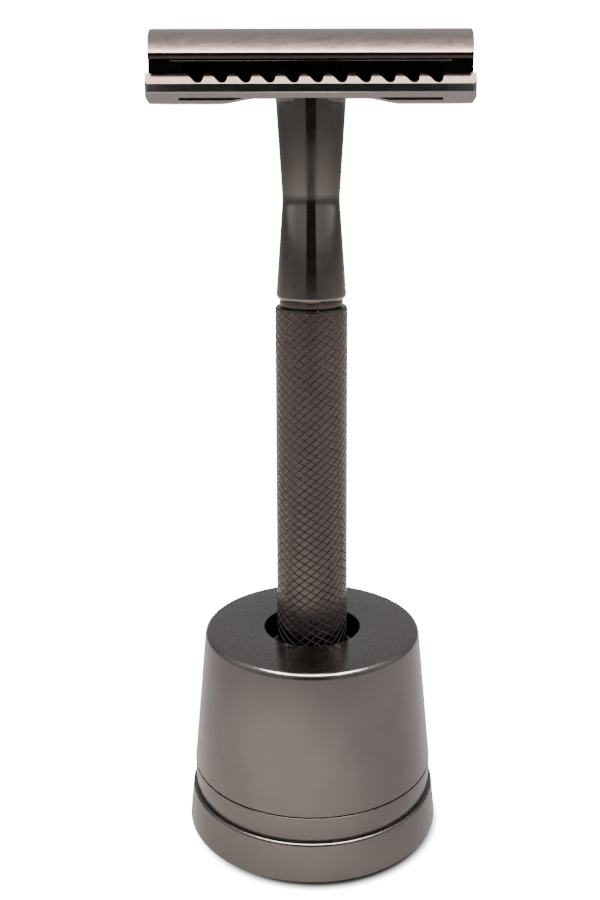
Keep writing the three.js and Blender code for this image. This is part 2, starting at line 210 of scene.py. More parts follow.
# ---------- camera ----------
def add_camera():
    camera = bpy.data.cameras.new("camera")
    camera.sensor_width = 36
    camera.lens = CAMERA_LENS
    camera.shift_x, camera.shift_y = CAMERA_SHIFT
    camera.clip_start = 0.01
    camera.clip_end = 50
    holder = bpy.data.objects.new("camera", camera)
    bpy.context.scene.collection.objects.link(holder)
    holder.matrix_world = (
        Matrix.Translation(CAMERA_PLACE)
        @ Matrix.Rotation(math.radians(90 - CAMERA_TILT), 4, "X")
        @ Matrix.Rotation(math.radians(CAMERA_ROLL), 4, "Z")
    )
    bpy.context.scene.camera = holder


# ---------- mesh helpers ----------
def new_object(name, bm, sharp=35):
    mesh = bpy.data.meshes.new(name)
    bmesh.ops.recalc_face_normals(bm, faces=bm.faces)
    bm.to_mesh(mesh)
    bm.free()
    mesh.shade_smooth()
    mesh.set_sharp_from_angle(angle=math.radians(sharp))
    obj = bpy.data.objects.new(name, mesh)
    bpy.context.scene.collection.objects.link(obj)
    return obj


def rounded(corners, steps=6):
    """Rounds the corners of a closed outline. Each corner is (a, b) or (a, b, radius)."""
    out = []
    count = len(corners)
    for i, corner in enumerate(corners):
        here = Vector(corner[:2])
        r = corner[2] if len(corner) > 2 else 0
        if not r:
            out.append(tuple(here))
            continue
        before = (Vector(corners[i - 1][:2]) - here).normalized()
        after = (Vector(corners[(i + 1) % count][:2]) - here).normalized()
        half = before.angle(after) / 2
        reach = r / math.tan(half)
        centre = here + (before + after).normalized() * (r / math.sin(half))
        start = here + before * reach - centre
        turn = (here + after * reach - centre).angle_signed(start)
        for k in range(steps + 1):
            angle = turn * k / steps
            c, s = math.cos(angle), math.sin(angle)
            out.append((centre.x + start.x * c - start.y * s, centre.y + start.x * s + start.y * c))
    return out


def lathe(name, corners, steps=LATHE_STEPS, x=0):
    """Turns a closed outline of (radius, height) corners about a vertical axis at x."""
    outline = rounded(corners)
    bm = bmesh.new()
    rings = []
    for r, z in outline:
        if r < 1e-6:
            rings.append([bm.verts.new((x * MM, 0, z * MM))])
            continue
        ring = []
        for k in range(steps):
            angle = 2 * math.pi * k / steps
            ring.append(bm.verts.new(((x + r * math.cos(angle)) * MM, r * math.sin(angle) * MM, z * MM)))
        rings.append(ring)
    for a, b in zip(rings, rings[1:] + rings[:1]):
        if len(a) == 1 and len(b) == 1:
            continue
        for k in range(steps):
            n = (k + 1) % steps
            corner = [a[k % len(a)], a[n % len(a)], b[n % len(b)], b[k % len(b)]]
            face = []
            for v in corner:
                if v not in face:
                    face.append(v)
            bm.faces.new(face)
    return new_object(name, bm)


def prism(name, outline, start, end, axis):
    """Sweeps a flat outline from start to end along "X", "Y" or "Z"."""
    def place(a, b, t):
        point = {"X": (t, a, b), "Y": (a, t, b), "Z": (a, b, t)}[axis]
        return Vector(point) * MM
    bm = bmesh.new()
    near = [bm.verts.new(place(a, b, start)) for a, b in outline]
    far = [bm.verts.new(place(a, b, end)) for a, b in outline]
    bm.faces.new(near)
    bm.faces.new(list(reversed(far)))
    for i in range(len(near)):
        j = (i + 1) % len(near)
        bm.faces.new((near[j], near[i], far[i], far[j]))
    return new_object(name, bm)


def box(name, x0, x1, y0, y1, z0, z1):
    return prism(name, [(x0, y0), (x1, y0), (x1, y1), (x0, y1)], z0, z1, "Z")


def front_tool(outline):
    """A tool from an outline seen from the front, as (x, z)."""
    return prism("tool", outline, -TOOL_SIDE, TOOL_SIDE, "Y")


def plan_tool(outline, low=TOOL_LOW, high=TOOL_HIGH):
    """A tool from an outline seen from above, as (x, y)."""
    return prism("tool", outline, low, high, "Z")


def drill(r, low, high, x=0, steps=48):
    return lathe("tool", [(0, low), (r, low), (r, high), (0, high)], steps, x)


def cut(obj, tool, kind="DIFFERENCE"):
    """Joins or cuts obj with tool, which is used up."""
    mod = obj.modifiers.new("cut", "BOOLEAN")
    mod.operation = kind
    mod.solver = "EXACT"
    mod.object = tool
    graph = bpy.context.evaluated_depsgraph_get()
    mesh = bpy.data.meshes.new_from_object(obj.evaluated_get(graph))
    obj.modifiers.clear()
    old = obj.data
    obj.data = mesh
    bpy.data.meshes.remove(old)
    bpy.data.objects.remove(tool)


def soften(obj, width, segments, angle):
    """Bevels the edges sharper than angle."""
    bevel = obj.modifiers.new("bevel", "BEVEL")
    bevel.width = width * MM
    bevel.segments = segments
    bevel.limit_method = "ANGLE"
    bevel.angle_limit = math.radians(angle)
    bevel.harden_normals = True


def both_sides(half):
    """Closes a half outline (a >= 0) with its mirror image."""
    other = [(-a, b) for a, b in reversed(half)]
    out = []
    for point in half + other:
        if not out or (Vector(point) - Vector(out[-1])).length > 1e-6:
            out.append(point)
    if (Vector(out[0]) - Vector(out[-1])).length < 1e-6:
        out.pop()
    return out


def turned_round(outline):
    return [(-a, b) for a, b in outline]


# ---------- materials ----------
class Nodes:
    """A small helper that adds nodes to one material."""

    def __init__(self, name):
        self.material = bpy.data.materials.new(name)
        self.material.use_nodes = True
        self.tree = self.material.node_tree
        self.shader = self.tree.nodes["Principled BSDF"]
        coords = self.tree.nodes.new("ShaderNodeTexCoord")
        scale = self.tree.nodes.new("ShaderNodeVectorMath")
        scale.operation = "SCALE"
        scale.inputs["Scale"].default_value = 1 / MM
        self.link(coords.outputs["Object"], scale.inputs[0])
        self.place = scale.outputs[0]

    def link(self, source, target):
        self.tree.links.new(source, target)

    def noise(self, size, detail=3, rough=0.55, stretch=None):
        """Noise whose features are about size across."""
        node = self.tree.nodes.new("ShaderNodeTexNoise")
        node.inputs["Scale"].default_value = 1 / size
        node.inputs["Detail"].default_value = detail
        node.inputs["Roughness"].default_value = rough
        place = self.place
        if stretch:
            mapping = self.tree.nodes.new("ShaderNodeMapping")
            mapping.inputs["Scale"].default_value = stretch
            self.link(self.place, mapping.inputs["Vector"])
            place = mapping.outputs["Vector"]
        self.link(place, node.inputs["Vector"])
        return node.outputs["Fac"]

    def spread(self, source, low, high, start=0.3, end=0.7):
        """Takes source's range from start to end to the range from low to high."""
        node = self.tree.nodes.new("ShaderNodeMapRange")
        for key, value in (("From Min", start), ("From Max", end), ("To Min", low), ("To Max", high)):
            node.inputs[key].default_value = value
        self.link(source, node.inputs["Value"])
        return node.outputs["Result"]

    def mix(self, factor, a, b):
        node = self.tree.nodes.new("ShaderNodeMix")
        node.data_type = "RGBA"
        self.link(factor, node.inputs["Factor"])
        for value, socket in ((a, node.inputs["A"]), (b, node.inputs["B"])):
            if isinstance(value, tuple):
                socket.default_value = (*value, 1)
            else:
                self.link(value, socket)
        return node.outputs["Result"]

    def maths(self, operation, a, b):
        """Maths on two values, kept between 0 and 1."""
        node = self.tree.nodes.new("ShaderNodeMath")
        node.operation = operation
        node.use_clamp = True
        for value, socket in ((a, node.inputs[0]), (b, node.inputs[1])):
            if isinstance(value, (int, float)):
                socket.default_value = value
            else:
                self.link(value, socket)
        return node.outputs[0]

    def height(self):
        """Height above the floor."""
        split = self.tree.nodes.new("ShaderNodeSeparateXYZ")
        self.link(self.place, split.inputs[0])
        return split.outputs["Z"]

    def gap(self):
        """Mask for painted shade: 1 on the faces inside the gap between guard and cap, 0 on every outer
        face.
        """
        size = self.tree.nodes.new("ShaderNodeVectorMath")
        size.operation = "ABSOLUTE"
        self.link(self.place, size.inputs[0])
        split = self.tree.nodes.new("ShaderNodeSeparateXYZ")
        self.link(size.outputs[0], split.inputs[0])
        x, y, z = split.outputs
        below_cap = self.spread(z, 1, 0, *GAP_CEILING)
        middle = self.spread(y, 1, 0, *GAP_HALF_DEPTH)
        middle = self.maths("MULTIPLY", middle, self.spread(z, 0, 1, *GAP_FLOOR))
        posts = self.spread(y, 1, 0, POST_HALF_DEPTH + 0.05, POST_HALF_DEPTH + 0.2)
        posts = self.maths("MULTIPLY", posts, self.spread(x, 0, 1, POST_IN - 0.2, POST_IN))
        posts = self.maths("MULTIPLY", posts, self.spread(z, 0, 1, *POST_FLOOR))
        inside = self.maths("MULTIPLY", self.maths("MAXIMUM", middle, posts), below_cap)
        return self.maths("MULTIPLY", inside, self.spread(x, 1, 0, *GAP_END))

    def lip(self):
        """Mask for painted shade: 1 on the upper half of the cap's front edge, a weaker share on its lower
        half, 0 on the dome.
        """
        z = self.height()
        edge = self.spread(z, 1, 0, CAP_SPRING - 0.1, CAP_SPRING)
        halves = self.spread(z, LIP_LOWER_SHADE, 1, CAP_SPRING - 0.5, CAP_SPRING - 0.35)
        return self.maths("MULTIPLY", edge, halves)

    def bore(self):
        """Mask for painted shade: 1 on the wall of the stand's hole, 0 on its outer faces."""
        flat = self.tree.nodes.new("ShaderNodeVectorMath")
        flat.operation = "MULTIPLY"
        flat.inputs[1].default_value = (1, 1, 0)
        self.link(self.place, flat.inputs[0])
        out = self.tree.nodes.new("ShaderNodeVectorMath")
        out.operation = "LENGTH"
        self.link(flat.outputs[0], out.inputs[0])
        return self.spread(out.outputs["Value"], 1, 0, HOLE_R + 0.02, HOLE_R + 0.1)

    def bump(self, source, depth):
        node = self.tree.nodes.new("ShaderNodeBump")
        node.inputs["Strength"].default_value = 1
        node.inputs["Distance"].default_value = depth * MM
        self.link(source, node.inputs["Height"])
        self.link(node.outputs["Normal"], self.shader.inputs["Normal"])


def satin_metal(name, dark, light, roughness, grain=0.15, relief=0.001, edge=None, shaded_above=None,
                shade_mask=None):
    """Satin metal: cloudy tone, fine grain in gloss and relief.

    edge = (low, high) is a worn, glossier strip; shaded_above is the height where painted shade on the
    guard's face starts;
    the last argument is the mask of the faces darkened with painted shade, a method of Nodes.
    """
    n = Nodes(name)
    n.shader.inputs["Metallic"].default_value = 1
    cloud = n.spread(n.noise(6, 3, 0.5), 0, 1)
    fine = n.noise(grain, 2, 0.6)
    tone = n.maths("ADD", n.maths("MULTIPLY", cloud, 0.6), n.maths("MULTIPLY", n.spread(fine, 0, 1), 0.4))
    colour = n.mix(tone, dark, light)
    gloss = n.spread(n.noise(1.5), roughness - 0.02, roughness + 0.03)
    if edge:
        worn = n.spread(n.height(), 0, 1, edge[0], edge[0] + 0.25)
        chips = n.spread(n.noise(0.45, 5, 0.7), 0, 1, 0.35, 0.6)
        worn = n.maths("MULTIPLY", worn, chips)
        colour = n.mix(worn, colour, tuple(min(1, 1.5 * c) for c in light))
        gloss = n.maths("SUBTRACT", gloss, n.maths("MULTIPLY", worn, 0.1))
    # painted shade: the guard's face above its lower edge is darkened
    if shaded_above:
        shade = n.spread(n.height(), 0, 1, shaded_above - 0.02, shaded_above + 0.02)
        colour = n.mix(shade, colour, tuple(s * c for s, c in zip(GUARD_PAINTED_SHADE, light)))
    # painted shade: the masked faces get a near-black colour and more roughness
    if shade_mask:
        inside = shade_mask(n)
        colour = n.mix(inside, colour, PAINTED_SHADE_TONE)
        gloss = n.maths("ADD", gloss, n.maths("MULTIPLY", inside, 0.3))
    n.link(colour, n.shader.inputs["Base Color"])
    n.link(gloss, n.shader.inputs["Roughness"])
    n.bump(fine, relief)
    return n.material


def dull(name, dark, light, roughness, grain, relief):
    """Plastic, rubber or cast iron."""
    n = Nodes(name)
    fine = n.noise(grain, 4, 0.6)
    n.link(n.mix(n.spread(fine, 0, 1), dark, light), n.shader.inputs["Base Color"])
    n.link(n.spread(n.noise(grain * 4), roughness - 0.08, roughness + 0.08), n.shader.inputs["Roughness"])
    n.bump(fine, relief)
    return n.material


def brushed(name, dark, light, roughness, stretch):
    """Bright metal with fine lines along one direction."""
    n = Nodes(name)
    n.shader.inputs["Metallic"].default_value = 1
    lines = n.noise(0.25, 3, 0.6, stretch)
    n.link(n.mix(n.spread(lines, 0, 1), dark, light), n.shader.inputs["Base Color"])
    n.link(n.spread(lines, roughness - 0.06, roughness + 0.06), n.shader.inputs["Roughness"])
    n.bump(lines, 0.003)
    return n.material


def make_materials():
    top = z_range("stand_body")[1]
    along, around = (0.1, 1, 1), (1, 1, 0.15)
    return {
        "stand": satin_metal("gunmetal_stand", (0.116, 0.107, 0.104), (0.134, 0.124, 0.121), 0.24,
                             0.12, 0.0009, edge=(top - EDGE_WEAR, top), shade_mask=Nodes.bore),
        "cap": satin_metal("gunmetal_cap", (0.25, 0.195, 0.175), (0.274, 0.216, 0.195), 0.2,
                           relief=0.0012, shade_mask=Nodes.lip),
        "plate": satin_metal("gunmetal_plate", (0.22, 0.208, 0.202), (0.243, 0.231, 0.225), 0.16,
                             shaded_above=GUARD_EDGE, shade_mask=Nodes.gap),
        "neck": satin_metal("gunmetal_neck", (0.168, 0.157, 0.145), (0.19, 0.178, 0.165), 0.1,
                            relief=0.0004),
        "knurl": satin_metal("gunmetal_knurl", (0.076, 0.066, 0.063), (0.096, 0.085, 0.081), 0.26,
                             0.2, 0.003),
        "steel": brushed("bright_steel", (0.5, 0.5, 0.5), (0.62, 0.62, 0.61), 0.24, along),
        "turned": brushed("turned_steel", (0.42, 0.42, 0.42), (0.55, 0.55, 0.54), 0.3, around),
        "brass": brushed("turned_brass", (0.62, 0.43, 0.16), (0.78, 0.57, 0.25), 0.28, around),
        "iron": dull("cast_iron", (0.05, 0.05, 0.052), (0.09, 0.088, 0.085), 0.75, 0.6, 0.05),
        "plastic": dull("black_plastic", (0.004, 0.004, 0.004), (0.007, 0.007, 0.007), 0.6, 0.3, 0.006),
        "rubber": dull("black_rubber", (0.012, 0.012, 0.012), (0.025, 0.024, 0.023), 0.85, 0.4, 0.015),
    }


def finish_piece(obj, body, slot, material, *nodes):
    obj.data.materials.clear()
    obj.data.materials.append(material)
    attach(obj, body)
    if nodes:
        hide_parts(*nodes)


# ---------- stand ----------
def build_stand(mats):
    low, top = z_range("stand_body")
    seam_r = radius("stand_body")
    low -= SEAM_LIFT
    body = lathe("stand_shell", [
        (HOLE_R, low),
        (seam_r - 0.02, low, 0.1),
        (STAND_TOP_R, top, 0.9),
        (HOLE_R, top, 0.12),
    ])
    finish_piece(body, "stand", "gunmetal", mats["stand"], "stand_body")

    low, top = z_range("base_band")
    low -= BAND_SINK
    top += SEAM_LIFT
    band = lathe("stand_band", [
        (HOLE_R, low),
        (BAND_FOOT_R, low, 0.05),
        (BAND_BELLY_R, (low + top) / 2 - 0.4, 3),
        (seam_r - 0.01, top, 0.1),
        (HOLE_R, top),
    ])
    finish_piece(band, "stand", "gunmetal", mats["stand"], "base_band")

    low, top = z_range("base_ring")
    foot_r = radius("base_ring")
    recess_r = radius("foot_pad") + PAD_ROOM
    recess_top = z_range("foot_pad")[1] + PAD_ROOM
    ring = lathe("stand_foot_ring", [
        (0, recess_top),
        (recess_r, recess_top),
        (recess_r, low, 0.1),
        (foot_r, low, 0.2),
        (RING_TOP_R, top, 0.43),
        (0, top),
    ])
    finish_piece(ring, "stand", "gunmetal", mats["stand"], "base_ring")

    low, top = z_range("socket_liner")
    liner_r = radius("socket_liner")
    floor = z_range("socket_pad")[0] - PAD_ROOM
    liner = lathe("socket_cup", [
        (0, low),
        (liner_r, low, 0.3),
        (liner_r, top, 0.15),
        (SOCKET_R, top, 0.25),
        (SOCKET_R, floor, 0.3),
        (0, floor),
    ], 128)
    finish_piece(liner, "stand", "black_plastic", mats["plastic"], "socket_liner")

    low, top = z_range("socket_pad")
    pad_r = radius("socket_pad")
    pad = lathe("socket_cushion", [(0, low), (pad_r, low, 0.25), (pad_r, top, 0.4), (0, top)], 96)
    finish_piece(pad, "loose_pad", "rubber", mats["rubber"], "socket_pad")

    low, top = z_range("foot_pad")
    pad_r = radius("foot_pad")
    foot = lathe("foot_cushion", [(0, low), (pad_r, low, 0.25), (pad_r, top, 0.15), (0, top)], 128)
    finish_piece(foot, "stand", "rubber", mats["rubber"], "foot_pad")


# ---------- handle ----------
def knurl(name, r, low, high, starts, pitch, depth, flat):
    """Diamonds left between two families of helical grooves, as an open sleeve."""
    up, down = starts
    total = up + down
    bm = bmesh.new()
    grooves = {}

    def at(a, b, rr):
        angle = 2 * math.pi * (a + b) / total
        z = pitch * (b * up - a * down) / total
        return Vector((rr * math.cos(angle) * MM, rr * math.sin(angle) * MM, z * MM))

    def groove(a, b):
        turns = (a + b) // total
        key = (a - turns * up, b - turns * down)
        if key not in grooves:
            grooves[key] = bm.verts.new(at(*key, r - depth))
        return grooves[key]

    margin = 2 * pitch
    for column in range(total):
        first = math.floor((low - margin) / pitch - column * up / total)
        last = math.ceil((high + margin) / pitch - column * up / total)
        for step in range(first, last):
            # moving by (-1, 1) climbs one pitch at the same angle
            a, b = -step, column + step
            ring = [(a, b), (a + 1, b), (a + 1, b + 1), (a, b + 1)]
            base = [groove(*q) for q in ring]
            mid = (a + 0.5, b + 0.5)
            tops = []
            for q in ring:
                spot = tuple(m + (v - m) * flat for v, m in zip(q, mid))
                tops.append(bm.verts.new(at(*spot, r)))
            crown = bm.verts.new(at(*mid, r))
            for k in range(4):
                n = (k + 1) % 4
                bm.faces.new((base[k], base[n], tops[n], tops[k]))
                bm.faces.new((tops[k], tops[n], crown))
    for z, side in ((low, -1), (high, 1)):
        geometry = bm.verts[:] + bm.edges[:] + bm.faces[:]
        bmesh.ops.bisect_plane(
            bm, geom=geometry, plane_co=(0, 0, z * MM), plane_no=(0, 0, side), clear_outer=True)
    return new_object(name, bm, 12)


def build_handle(mats):
    low, grip_top = z_range("handle_grip")
    r = radius("handle_grip")
    core = lathe("grip_core", [
        (PLUG_BORE_R, low),
        (r - 0.33, low, 0.05),
        (r - 0.03, low + 0.33),
        (r - 0.03, low + 0.4),
        (r - KNURL_DEPTH, low + 0.5),
        (r - KNURL_DEPTH, grip_top - 0.5),
        (r - 0.03, grip_top - 0.4),
        (r - 0.03, grip_top - 0.3),
        (r - 0.13, grip_top, 0.03),
        (STUD_BORE_R, grip_top),
    ], 128)
    finish_piece(core, "handle", "knurled", mats["knurl"], "handle_grip")
    diamonds = knurl(
        "grip_knurl", r, low + 0.3, grip_top - 0.3, KNURL_STARTS, KNURL_PITCH, KNURL_DEPTH, KNURL_FLAT)
    finish_piece(diamonds, "handle", "knurled", mats["knurl"], "handle_grip")

    low, top = z_range("grip_end_plug")
    r = radius("grip_end_plug")
    plug = lathe("grip_foot_plug", [
        (0, low + 0.35),
        (1.5, low, 0.4),
        (r, low, 0.5),
        (r, low + PLUG_RIM, 0.05),
        (PLUG_STEM_R, low + PLUG_RIM),
        (PLUG_STEM_R, top, 0.3),
        (0, top),
    ], 96)
    finish_piece(plug, "handle", "gunmetal", mats["neck"], "grip_end_plug")

    low, top = z_range("collar_ring")
    r = radius("collar_ring")
    # a narrower hub under the ring rests on the grip, so no light passes between them
    collar = lathe("neck_collar", [
        (STUD_BORE_R, grip_top + TOUCH),
        (r - HUB_STEP, grip_top + TOUCH),
        (r - HUB_STEP, low),
        (r, low, 0.06),
        (r, top, 0.06),
        (STUD_BORE_R, top),
    ], 128)
    finish_piece(collar, "handle", "gunmetal", mats["knurl"], "collar_ring")

    low, top = top + TOUCH, z_range("handle_neck")[1]
    r = radius("handle_neck")
    neck = lathe("handle_waist", [
        (STUD_BORE_R, low),
        (r - 0.34, low, 0.05),
        (r, low + 0.5, 0.1),
        (WAIST_R, WAIST_Z, 14),
        (NECK_TOP_R, top - 0.3, 0.12),
        (NECK_FLAT_R, top, 0.06),
        (INSERT_BORE_R, top),
        (INSERT_BORE_R, top - 9),
        (STUD_BORE_R, top - 12),
    ])
    finish_piece(neck, "handle", "gunmetal", mats["neck"], "handle_neck")


# ---------- head ----------
def bow(y):
    """Height of the bent blade's middle layer at depth y."""
    return BLADE_MID - y * y / (2 * BLADE_BEND_R)


def bowed(half, lift, steps=16):
    """Half an outline that follows the blade at a distance, as (y, z)."""
    return [(half * k / steps, bow(half * k / steps) + lift) for k in range(steps + 1)]


def bowed_ends(length, depth, bulge, corner):
    """Plan as (x, y) whose two ends bow outwards by bulge."""
    x, y = length / 2, depth / 2
    end = [(x - bulge * (t / 12) ** 2, y * t / 12) for t in range(-12, 13)]
    end[0] = (*end[0], corner)
    end[-1] = (*end[-1], corner)
    return rounded(end + [(-a[0], -a[1], *a[2:]) for a in end])


def notch_outline(x):
    """One slanted notch, steep on the +X side, as (x, z)."""
    return rounded([
        (x - 1.9, NOTCH_LOW + 2.3),
        (x - 1.45, NOTCH_LOW + 1.15, 1),
        (x - 0.32, NOTCH_LOW, 0.9),
        (x + 0.55, NOTCH_LOW, 0.62),
        (x + 0.86, NOTCH_LOW + 1.2, 1),
        (x + 0.9, NOTCH_LOW + 2.3),
    ])


def guard_face(y, steps=8):
    """The guard's rounded front, from its sharp lower edge at depth y up to the top, as (y, z)."""
    cy, cz = y - GUARD_R * math.sin(GUARD_STEEP), GUARD_EDGE - GUARD_R * math.cos(GUARD_STEEP)
    points = []
    for k in range(steps + 1):
        tilt = GUARD_STEEP + (GUARD_FLAT - GUARD_STEEP) * k / steps
        points.append((cy + GUARD_R * math.sin(tilt), cz + GUARD_R * math.cos(tilt)))
    return points


def add_posts(plate, plate_plan, cap_plan):
    """The blocks at both ends that close the gap between guard and cap."""
    foot = TROUGH - 0.3
    crest = both_sides([(POST_HALF_DEPTH, foot)] + bowed(POST_HALF_DEPTH, SADDLE_LIFT)[::-1])
    rise = [p for p in bowed(POST_HALF_DEPTH, CORNER_LIFT) if p[0] > CORNER_NEAR][::-1]
    corner = [
        (POST_HALF_DEPTH, foot),
        *rise,
        (CORNER_NEAR, bow(CORNER_NEAR) + CORNER_LIFT),
        (CORNER_NEAR, foot),
    ]
    for side in (-1, 1):
        a, b = sorted((side * (POST_IN - 0.3), side * PAST_END))
        cut(plate, box("tool", a, b, -POST_ROOM_HALF_DEPTH, POST_ROOM_HALF_DEPTH, TROUGH, PAST_TOP))
        for outline, start in ((crest, POST_IN), (corner, CORNER_IN), (turned_round(corner), CORNER_IN)):
            a, b = sorted((side * start, side * PAST_END))
            post = prism("tool_post", outline, a, b, "X")
            cut(post, plan_tool(cap_plan), "INTERSECT")
            cut(post, plan_tool(plate_plan), "INTERSECT")
            cut(plate, post, "UNION")


def build_plate(mats):
    low = z_range("base_plate")[0]
    length = 2 * radius("base_plate")
    depth = 2 * half_depth("base_plate")
    x, y = length / 2, depth / 2
    arch = low + ARCH_RISE
    guard = guard_face(y)
    rim_y, rim_z = guard[-1]
    guard_top = rim_z + 0.16
    half = rounded([
        (0, low),
        (y - 0.45, low, 0.25),
        (y - 0.15, low + 1.45, 0.05),
        (y, low + 1.6, 0.06),
        *guard,
        (rim_y - 0.17, guard_top, 0.4),
        (rim_y - 0.9, guard_top, 0.2),
        (TROUGH_HALF_DEPTH, TROUGH, 0.2),
        (SADDLE_HALF_DEPTH + 0.75, TROUGH, 0.3),
        (SADDLE_HALF_DEPTH, bow(SADDLE_HALF_DEPTH) + SADDLE_LIFT - 0.05, 0.1),
        (0, bow(0) + SADDLE_LIFT),
    ], 8)
    saddle = [p for p in bowed(SADDLE_HALF_DEPTH - 0.3, SADDLE_LIFT) if p[0] > 0][::-1]
    half = half[:-1] + saddle + [(0, bow(0) + SADDLE_LIFT)]
    plate = prism("guard_plate", both_sides(half), -x, x, "X")
    front = both_sides(rounded([
        (0, arch),
        (8.8, arch, 2.5),
        (13.2, low, 2.5),
        (x - 0.75, low, 0.45),
        (x - 0.15, low + 1, 0.8),
        (x, low + 2.2, 1.5),
        (x, guard_top, 0.35),
        (x - 0.6, guard_top + 0.12, 0.2),
        (x - 0.9, PAST_TOP),
        (0, PAST_TOP),
    ], 8))
    cut(plate, front_tool(front), "INTERSECT")
    plate_plan = bowed_ends(length, depth, PLATE_BULGE, PLATE_CORNER)
    cut(plate, plan_tool(plate_plan), "INTERSECT")
    cap_length = 2 * radius("top_cap")
    cap_depth = 2 * half_depth("top_cap")
    add_posts(plate, plate_plan, bowed_ends(cap_length - 0.1, cap_depth, CAP_BULGE, CAP_CORNER))
    near, far = NOTCH_REACH
    for k in range(NOTCHES):
        section = notch_outline(NOTCH_FIRST + k * NOTCH_PITCH)
        cut(plate, prism("tool", section, -far, -near, "Y"))
        cut(plate, prism("tool", turned_round(section), near, far, "Y"))
    for side_x in (-1, 1):
        for side_y in (-1, 1):
            ends_x = sorted(side_x * v for v in SLIT_X)
            ends_y = sorted(side_y * v for v in SLIT_Y)
            cut(plate, box("tool", *ends_x, *ends_y, *(arch + v for v in SLIT_Z)))
    cut(plate, drill(POCKET_R, TOOL_LOW, z_range("handle_neck")[1] + POCKET_ROOM, steps=96))
    cut(plate, drill(STUD_HOLE_R, TOOL_LOW, PAST_TOP))
    for side in (-1, 1):
        cut(plate, drill(PIN_HOLE_R, low + PIN_HOLE_LIFT, PAST_TOP, side * PIN_X))
    soften(plate, 0.07, 2, 35)
    finish_piece(plate, "plate", "gunmetal", mats["plate"], "base_plate")


def dome_outline(y, top, steps=40):
    """The cap's round back, from its spring line at depth y up to the crown, as (y, z)."""
    rise = top - CAP_SPRING
    r = (y * y + rise * rise) / (2 * rise)
    start = math.asin((r - rise) / r)
    points = []
    for k in range(steps + 1):
        angle = start + (math.pi / 2 - start) * k / steps
        points.append((r * math.cos(angle), top - r + r * math.sin(angle)))
    return points


def build_cap(mats):
    top = z_range("top_cap")[1]
    length = 2 * radius("top_cap")
    depth = 2 * half_depth("top_cap")
    x, y = length / 2, depth / 2
    dome = dome_outline(y, top)
    edge = rounded([
        (y - 1.4, CAP_LIP + 0.4),
        (y - 0.5, CAP_LIP, 0.05),
        (y - 0.07, CAP_LIP, 0.05),
        (y - 0.015, CAP_LIP + 0.4, 0.1),
        (y - 0.01, CAP_SPRING - 0.04, 0.03),
        dome[0],
    ], 3)
    half = bowed(y - 1.2, 0.4) + edge[1:-1] + dome
    cap = prism("domed_cap", both_sides(half), -x, x, "X")
    front = both_sides(rounded([(0, 110), (x, 110), (x, top + 0.1, 0.5), (0, top + 0.1)], 8))
    cut(cap, front_tool(front), "INTERSECT")
    cut(cap, plan_tool(bowed_ends(length, depth, CAP_BULGE, CAP_CORNER)), "INTERSECT")
    cut(cap, drill(STUD_HOLE_R, TOOL_LOW, CAP_STUD_HOLE_TOP))
    for side in (-1, 1):
        cut(cap, drill(PIN_HOLE_R, TOOL_LOW, CAP_PIN_HOLE_TOP, side * PIN_X))
    soften(cap, 0.06, 3, 33)
    finish_piece(cap, "cap", "gunmetal", mats["cap"], "top_cap")


def threaded_rod(name, r, low, high, pitch, depth, steps=48):
    """A rod with a right-hand V thread, turned as one skin with closed, tapered ends."""
    bm = bmesh.new()
    rows = int((high - low) / pitch * 8)
    rings = []
    for i in range(rows + 1):
        z = low + (high - low) * i / rows
        end = min(1, (z - low) / pitch, (high - z) / pitch)
        ring = []
        for k in range(steps):
            angle = 2 * math.pi * k / steps
            phase = (z / pitch - k / steps) % 1
            wave = min(1, max(0, (abs(2 * phase - 1) - 0.12) / 0.76))
            rr = (r - depth * (1 - wave)) * end + (r - depth * 1.2) * (1 - end)
            ring.append(bm.verts.new((rr * math.cos(angle) * MM, rr * math.sin(angle) * MM, z * MM)))
        rings.append(ring)
    for a, b in zip(rings, rings[1:]):
        for k in range(steps):
            n = (k + 1) % steps
            bm.faces.new((a[k], a[n], b[n], b[k]))
    bm.faces.new(rings[0])
    bm.faces.new(rings[-1])
    return new_object(name, bm, 30)


def build_blade(mats):
    x = radius("blade")
    y = half_depth("blade")
    edge_x = BLADE_EDGE / 2
    ground = y - BLADE_GRIND
    upper, lower = bowed(ground, BLADE_HALF_THICKNESS), bowed(ground, -BLADE_HALF_THICKNESS)
    section = upper + [(y, bow(y))] + lower[::-1]
    section += [(-a, b) for a, b in section[::-1] if a > 0]
    blade = prism("razor_blade", section, -x, x, "X")
    tab = BLADE_TAB_HALF_DEPTH
    corner = rounded([(x, 0), (x, tab, 0.8), (edge_x + 0.4, tab, 0.5), (edge_x, y + 1), (0, y + 1)], 4)
    rim = corner[:-1] + [(-a, b) for a, b in corner[-2::-1]]
    rim += [(-a, -b) for a, b in corner[1:-1]] + [(a, -b) for a, b in corner[-2:0:-1]]
    cut(blade, plan_tool(rim, *BLADE_TOOL), "INTERSECT")
    slot_length, slot_depth, slot_r = BLADE_SLOT
    sx, sy = slot_length / 2, slot_depth / 2
    slot = rounded([(sx, -sy, slot_r), (sx, sy, slot_r), (-sx, sy, slot_r), (-sx, -sy, slot_r)], 8)
    cut(blade, plan_tool(slot, *BLADE_TOOL))
    cut(blade, drill(BLADE_HOLE_R, *BLADE_TOOL))
    finish_piece(blade, "blade", "steel", mats["steel"], "blade")


def build_head(mats):
    build_plate(mats)
    build_cap(mats)
    low, top = z_range("cap_stud")
    stud = threaded_rod("cap_thread", radius("cap_stud"), low, top, THREAD_PITCH, THREAD_DEPTH)
    finish_piece(stud, "cap", "gunmetal", mats["neck"], "cap_stud")
    for side, node in ((-1, "cap_pin_left"), (1, "cap_pin_right")):
        low, top = z_range(node)
        r = radius(node)
        pin = lathe("guide_" + node, [(0, low), (r, low, 0.35), (r, top, 0.1), (0, top)], 48, side * PIN_X)
        finish_piece(pin, "cap", "gunmetal", mats["neck"], node)
    build_blade(mats)


